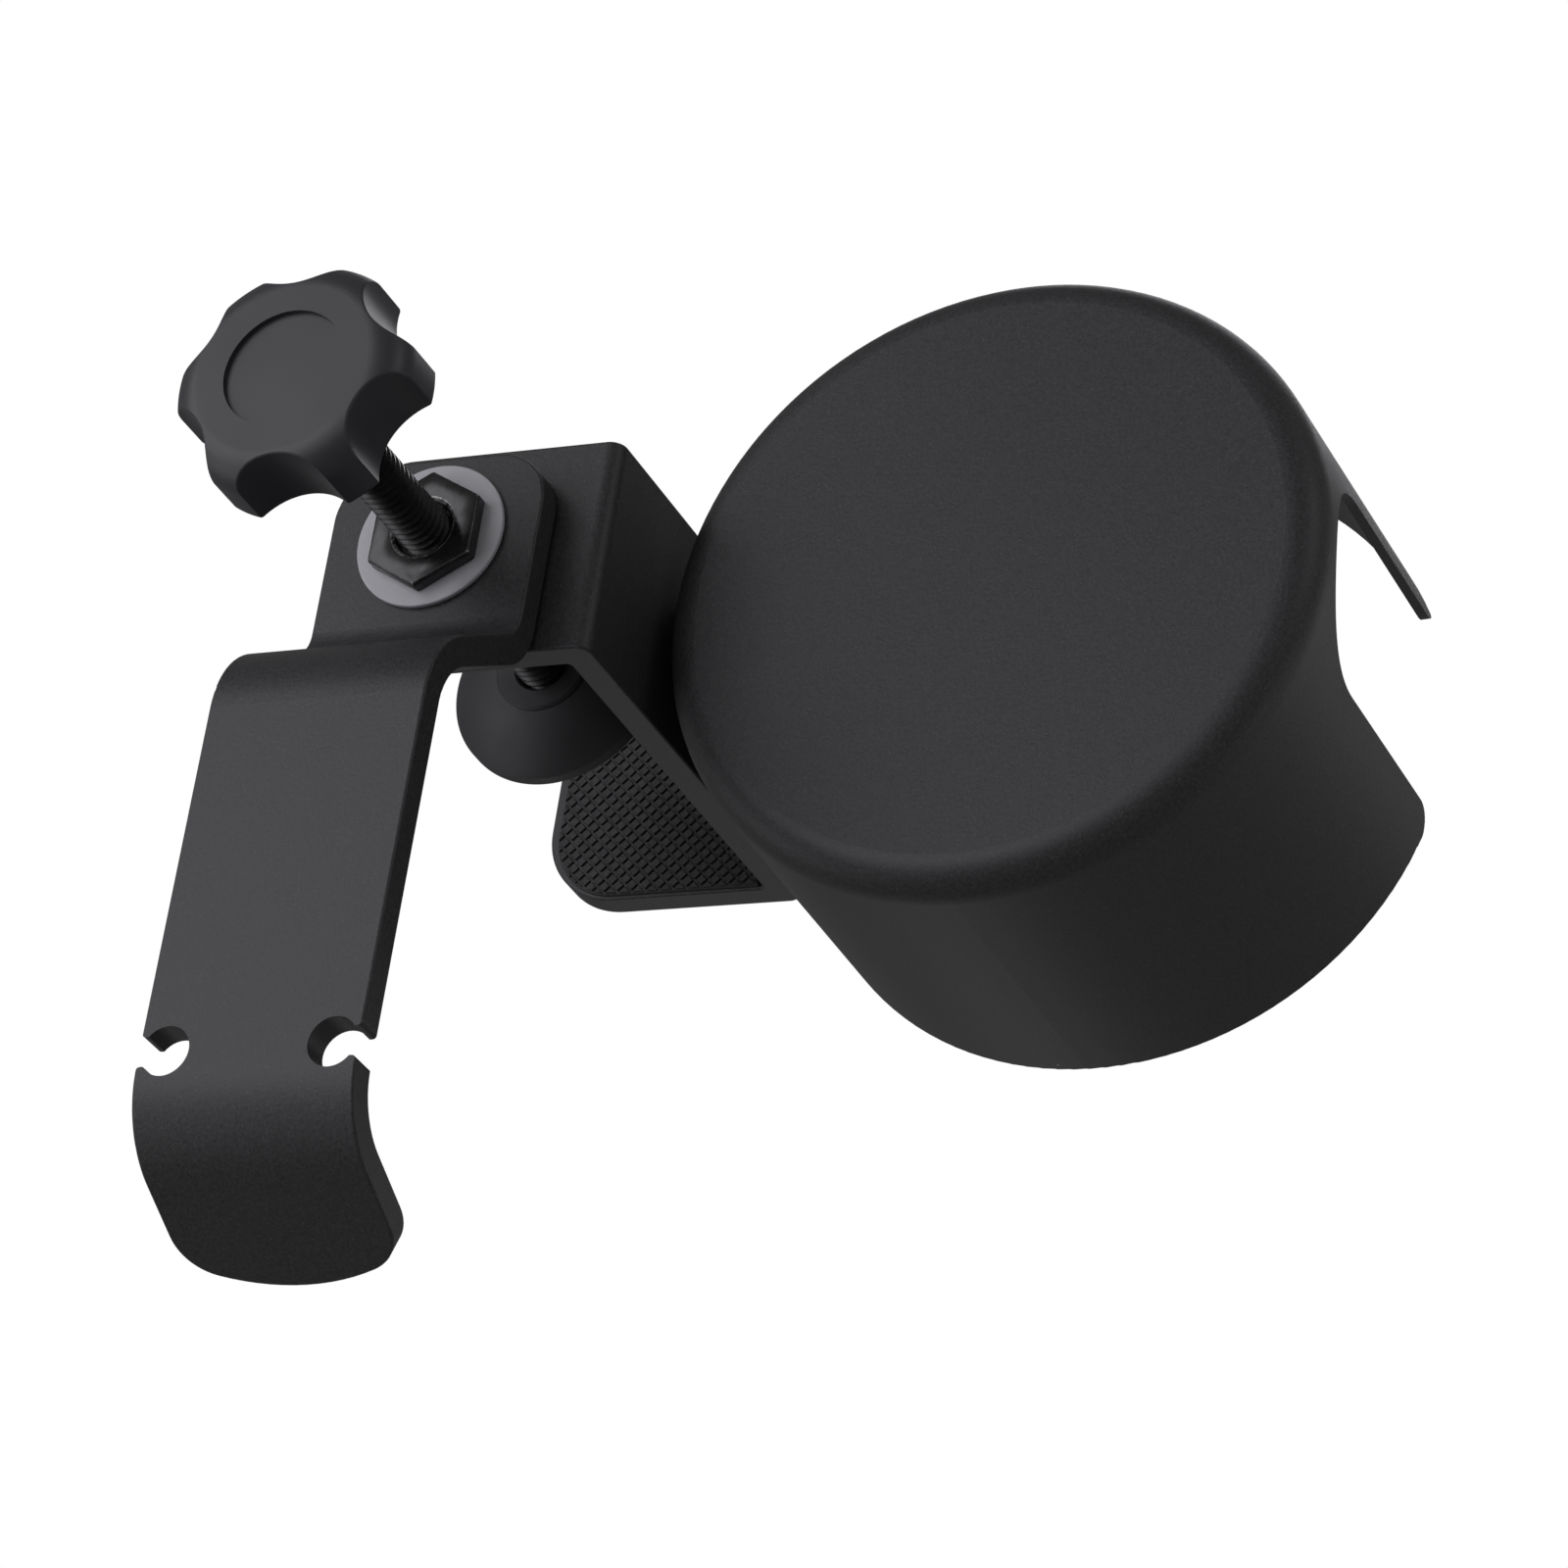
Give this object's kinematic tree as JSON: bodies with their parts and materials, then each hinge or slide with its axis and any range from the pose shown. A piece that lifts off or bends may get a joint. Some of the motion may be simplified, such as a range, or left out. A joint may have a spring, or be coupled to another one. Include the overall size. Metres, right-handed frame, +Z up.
{
  "type": "desk clamp cup holder with headphone hook",
  "caption": "Screw clamp for a desk edge that carries a round cup holder with a handle slot and a swivelling strip hook for headphones.",
  "frame": {"origin": "on the clamp screw's axis, at the gripping face of the upper jaw's rubber pad, which rests on the desk's top", "axes": "+Z up along the clamp screw from knob to foot, -Y away from the desk towards the cup, +X the way the headphone hook points at rest"},
  "size_m": [0.1724, 0.1508, 0.1369],
  "materials": {
    "powder_coat": "fine-grained matte black powder coat on steel",
    "black_oxide": "black oxide steel with bright worn edges",
    "knob_plastic": "matte moulded black plastic",
    "cap_plastic": "matte moulded black plastic",
    "rubber": "smooth matte black rubber",
    "ribbed_rubber": "cross-ribbed matte black rubber",
    "nylon": "milky translucent nylon",
    "black_nylon": "matte black nylon",
    "zinc_steel": "plain zinc-plated steel"
  },
  "bodies": {
    "bracket": {"clamp_bracket": "powder_coat", "jaw_pad": "ribbed_rubber", "cup_shell": "powder_coat", "cup_saddle": "black_nylon", "cup_screws": "black_oxide", "swivel_bush": "black_oxide", "outer_washer": "nylon", "inner_washer": "nylon", "bush_nut": "black_oxide"},
    "hook": {"headphone_hook": "powder_coat"},
    "foot": {"foot_pad": "rubber", "foot_disc": "zinc_steel"},
    "screw": {"clamp_screw": "black_oxide", "star_knob": "knob_plastic", "knob_cap": "cap_plastic", "foot_clip": "black_oxide"}
  },
  "joints": [
    {"name": "hook_swivel", "type": "hinge", "parent": "bracket", "child": "hook", "pos_m": [0, 0, -0.079], "axis": [0, 0, 1], "continuous": true},
    {"name": "screw_travel", "type": "slide", "parent": "bracket", "child": "foot", "axis": [0, 0, 1], "range_m": [-0.024, 0.0325]},
    {"name": "knob_turn", "type": "hinge", "parent": "foot", "child": "screw", "pos_m": [0, 0, -0.12], "axis": [0, 0, 1], "range_deg": [-5760, 7800]}
  ],
  "couplings": [
    {"joint": "knob_turn", "follows": "screw_travel", "rad_per_m": 4188.8}
  ]
}
